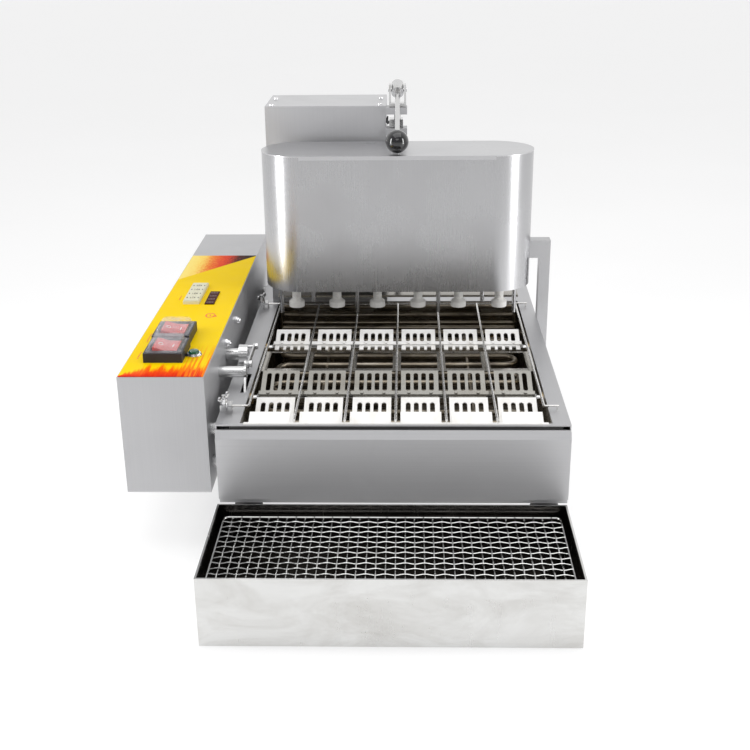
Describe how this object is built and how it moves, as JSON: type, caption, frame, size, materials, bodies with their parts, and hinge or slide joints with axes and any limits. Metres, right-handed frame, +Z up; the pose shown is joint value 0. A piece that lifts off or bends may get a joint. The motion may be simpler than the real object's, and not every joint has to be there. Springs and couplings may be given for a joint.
{
  "type": "automatic ring doughnut fryer",
  "caption": "Countertop doughnut maker with a heated oil tank, linked flipper rows, a dosing hopper, a side control box and a drip tray with a mesh.",
  "frame": {"origin": "middle of the whole object's box, on the surface it stands on", "axes": "+Z up, the front with the drip tray faces -Y, the control box is on -X"},
  "size_m": [0.5534, 0.862, 0.5199],
  "materials": {
    "stainless_brushed": "brushed satin sheet",
    "stainless_bright": "fine brushed bright sheet",
    "tank_steel": "dulled by oil",
    "flipper_steel": "satin, oil-stained",
    "flipper_white": "white food-grade coating",
    "shaft_steel": "turned and polished",
    "link_steel": "laser-cut strip",
    "wire_chrome": "bright wire",
    "fastener_chrome": "bright plated",
    "heater_dark": "heat-darkened sheath",
    "bronze": "sintered bronze",
    "foot_rubber": "matt black",
    "black_plastic": "fine-grained moulding",
    "knob_black": "polished phenolic",
    "nylon_white": "turned white plastic",
    "cream_plastic": "satin cream moulding",
    "rocker_red": "translucent red",
    "cover_clear": "soft clear cover",
    "button_green": "translucent green",
    "display_red": "dark red filter",
    "panel_yellow": "printed film",
    "motor_paint": "black enamel",
    "board_green": "solder mask"
  },
  "bodies": {
    "fryer": {"body_shell": "stainless_brushed", "bottom_covers": "stainless_brushed", "top_frame": "stainless_brushed", "control_box_shell": "stainless_brushed", "drive_box": "stainless_brushed", "hopper_bracket": "stainless_brushed", "front_panel": "stainless_bright", "hopper": "stainless_bright", "drive_box_cover": "stainless_bright", "oil_tank": "tank_steel", "lane_grid": "tank_steel", "discharge_lips": "flipper_white", "box_spacers": "link_steel", "rack_clips": "link_steel", "lane_wire_rack": "wire_chrome", "acorn_nuts": "fastener_chrome", "cover_screws": "fastener_chrome", "button_bezel": "fastener_chrome", "heater_element": "heater_dark", "heater_supports": "heater_dark", "shaft_bearings": "bronze", "thermostat_probe": "bronze", "feet": "foot_rubber", "switch_bases": "black_plastic", "cable_gland": "black_plastic", "plug_stems": "nylon_white", "timer_housing": "cream_plastic", "switch_covers": "cover_clear", "display_window": "display_red", "control_panel": "panel_yellow", "gearmotors": "motor_paint", "control_board": "board_green"},
    "flipper_drive": {"drive_shaft": "shaft_steel"},
    "rocker": {"rocker_shaft": "shaft_steel"},
    "link": {"link_plate": "link_steel"},
    "rod": {"coupling_rod": "link_steel"},
    "rear_flipper": {"rear_shaft": "shaft_steel", "rear_blades": "flipper_white"},
    "middle_flipper": {"middle_shaft": "shaft_steel", "middle_blades": "flipper_steel"},
    "discharge_flipper": {"discharge_shaft": "shaft_steel", "discharge_blades": "flipper_white"},
    "crank": {"dosing_crank": "motor_paint"},
    "dosing_lift": {"lift_rod": "shaft_steel", "lift_plate": "flipper_steel", "cutter_sleeves": "nylon_white"},
    "hand_lever": {"lever": "shaft_steel", "ball_knob": "knob_black"},
    "lid": {"hopper_lid": "stainless_bright"},
    "front_switch": {"front_rocker": "rocker_red"},
    "rear_switch": {"rear_rocker": "rocker_red"},
    "push_button": {"start_button": "button_green"},
    "front_wing_nut": {"wing_nut_front": "fastener_chrome"},
    "rear_wing_nut": {"wing_nut_rear": "fastener_chrome"},
    "drip_tray": {"tray": "stainless_bright"},
    "drain_mesh": {"tray_mesh": "wire_chrome"},
    "number_wheel_1": {"thumbwheel_1": "cream_plastic"},
    "number_wheel_2": {"thumbwheel_2": "cream_plastic"},
    "number_wheel_3": {"thumbwheel_3": "cream_plastic"},
    "number_wheel_4": {"thumbwheel_4": "cream_plastic"}
  },
  "joints": [
    {"name": "flipper_crank_turn", "type": "hinge", "parent": "fryer", "child": "flipper_drive", "pos_m": [-0.14925, -0.055, 0.2], "axis": [1, 0, 0], "range_deg": [-20, 70]},
    {"name": "rocker_turn", "type": "hinge", "parent": "fryer", "child": "rocker", "pos_m": [-0.13875, -0.119, 0.2], "axis": [1, 0, 0], "range_deg": [-20, 70]},
    {"name": "rear_flip", "type": "hinge", "parent": "fryer", "child": "rear_flipper", "pos_m": [0.05475, 0.049, 0.17], "axis": [1, 0, 0], "range_deg": [-20, 70]},
    {"name": "middle_flip", "type": "hinge", "parent": "fryer", "child": "middle_flipper", "pos_m": [0.05475, -0.135, 0.17], "axis": [1, 0, 0], "range_deg": [-20, 70]},
    {"name": "discharge_flip", "type": "hinge", "parent": "fryer", "child": "discharge_flipper", "pos_m": [0.05475, -0.219, 0.157], "axis": [1, 0, 0], "range_deg": [-20, 70]},
    {"name": "link_turn", "type": "hinge", "parent": "flipper_drive", "child": "link", "pos_m": [-0.13545, -0.05, 0.20866], "axis": [1, 0, 0], "range_deg": [-70, 20]},
    {"name": "rod_turn", "type": "hinge", "parent": "rocker", "child": "rod", "pos_m": [-0.14275, -0.138, 0.16709], "axis": [1, 0, 0], "range_deg": [-70, 20]},
    {"name": "dosing_crank_turn", "type": "hinge", "parent": "fryer", "child": "crank", "pos_m": [0.03975, 0.226, 0.462], "axis": [1, 0, 0], "range_deg": [-180, 0]},
    {"name": "dosing_lift", "type": "slide", "parent": "fryer", "child": "dosing_lift", "axis": [0, 0, 1], "range_m": [0, 0.006]},
    {"name": "lever_swing", "type": "hinge", "parent": "dosing_lift", "child": "hand_lever", "pos_m": [0.05475, 0.226, 0.506], "axis": [-1, 0, 0], "range_deg": [0, 100]},
    {"name": "lid_slide", "type": "slide", "parent": "fryer", "child": "lid", "axis": [1, 0, 0], "range_m": [0, 0.15]},
    {"name": "front_switch_rock", "type": "hinge", "parent": "fryer", "child": "front_switch", "pos_m": [-0.23025, -0.154, 0.246], "axis": [0, -1, 0], "range_deg": [0, 18]},
    {"name": "rear_switch_rock", "type": "hinge", "parent": "fryer", "child": "rear_switch", "pos_m": [-0.23225, -0.091, 0.246], "axis": [0, -1, 0], "range_deg": [0, 18]},
    {"name": "button_press", "type": "slide", "parent": "fryer", "child": "push_button", "axis": [0, 0, -1], "range_m": [0, 0.003], "stiffness_N_per_m": 200, "springref_m": -0.002},
    {"name": "number_wheel_1_turn", "type": "hinge", "parent": "fryer", "child": "number_wheel_1", "pos_m": [-0.23525, 0.0605, 0.2337], "axis": [0, 1, 0], "continuous": true},
    {"name": "number_wheel_2_turn", "type": "hinge", "parent": "fryer", "child": "number_wheel_2", "pos_m": [-0.23525, 0.0795, 0.2337], "axis": [0, 1, 0], "continuous": true},
    {"name": "number_wheel_3_turn", "type": "hinge", "parent": "fryer", "child": "number_wheel_3", "pos_m": [-0.23525, 0.0985, 0.2337], "axis": [0, 1, 0], "continuous": true},
    {"name": "number_wheel_4_turn", "type": "hinge", "parent": "fryer", "child": "number_wheel_4", "pos_m": [-0.23525, 0.1175, 0.2337], "axis": [0, 1, 0], "continuous": true},
    {"name": "front_wing_nut_turn", "type": "hinge", "parent": "fryer", "child": "front_wing_nut", "pos_m": [-0.15425, -0.2066, 0.197], "axis": [0, 0, 1], "continuous": true},
    {"name": "rear_wing_nut_turn", "type": "hinge", "parent": "fryer", "child": "rear_wing_nut", "pos_m": [-0.15425, 0.19, 0.197], "axis": [0, 0, 1], "continuous": true},
    {"name": "tray_pull", "type": "slide", "parent": "fryer", "child": "drip_tray", "axis": [0, -1, 0], "range_m": [0, 0.16]},
    {"name": "mesh_lift", "type": "slide", "parent": "drip_tray", "child": "drain_mesh", "axis": [0, 0, 1], "range_m": [0, 0.1]}
  ],
  "couplings": [
    {"joint": "rocker_turn", "follows": "flipper_crank_turn", "ratio": 1},
    {"joint": "rear_flip", "follows": "flipper_crank_turn", "ratio": 1},
    {"joint": "middle_flip", "follows": "flipper_crank_turn", "ratio": 1},
    {"joint": "discharge_flip", "follows": "flipper_crank_turn", "ratio": 1},
    {"joint": "link_turn", "follows": "flipper_crank_turn", "ratio": -1},
    {"joint": "rod_turn", "follows": "flipper_crank_turn", "ratio": -1},
    {"joint": "dosing_crank_turn", "follows": "dosing_lift", "rad_per_m": -523.6}
  ]
}
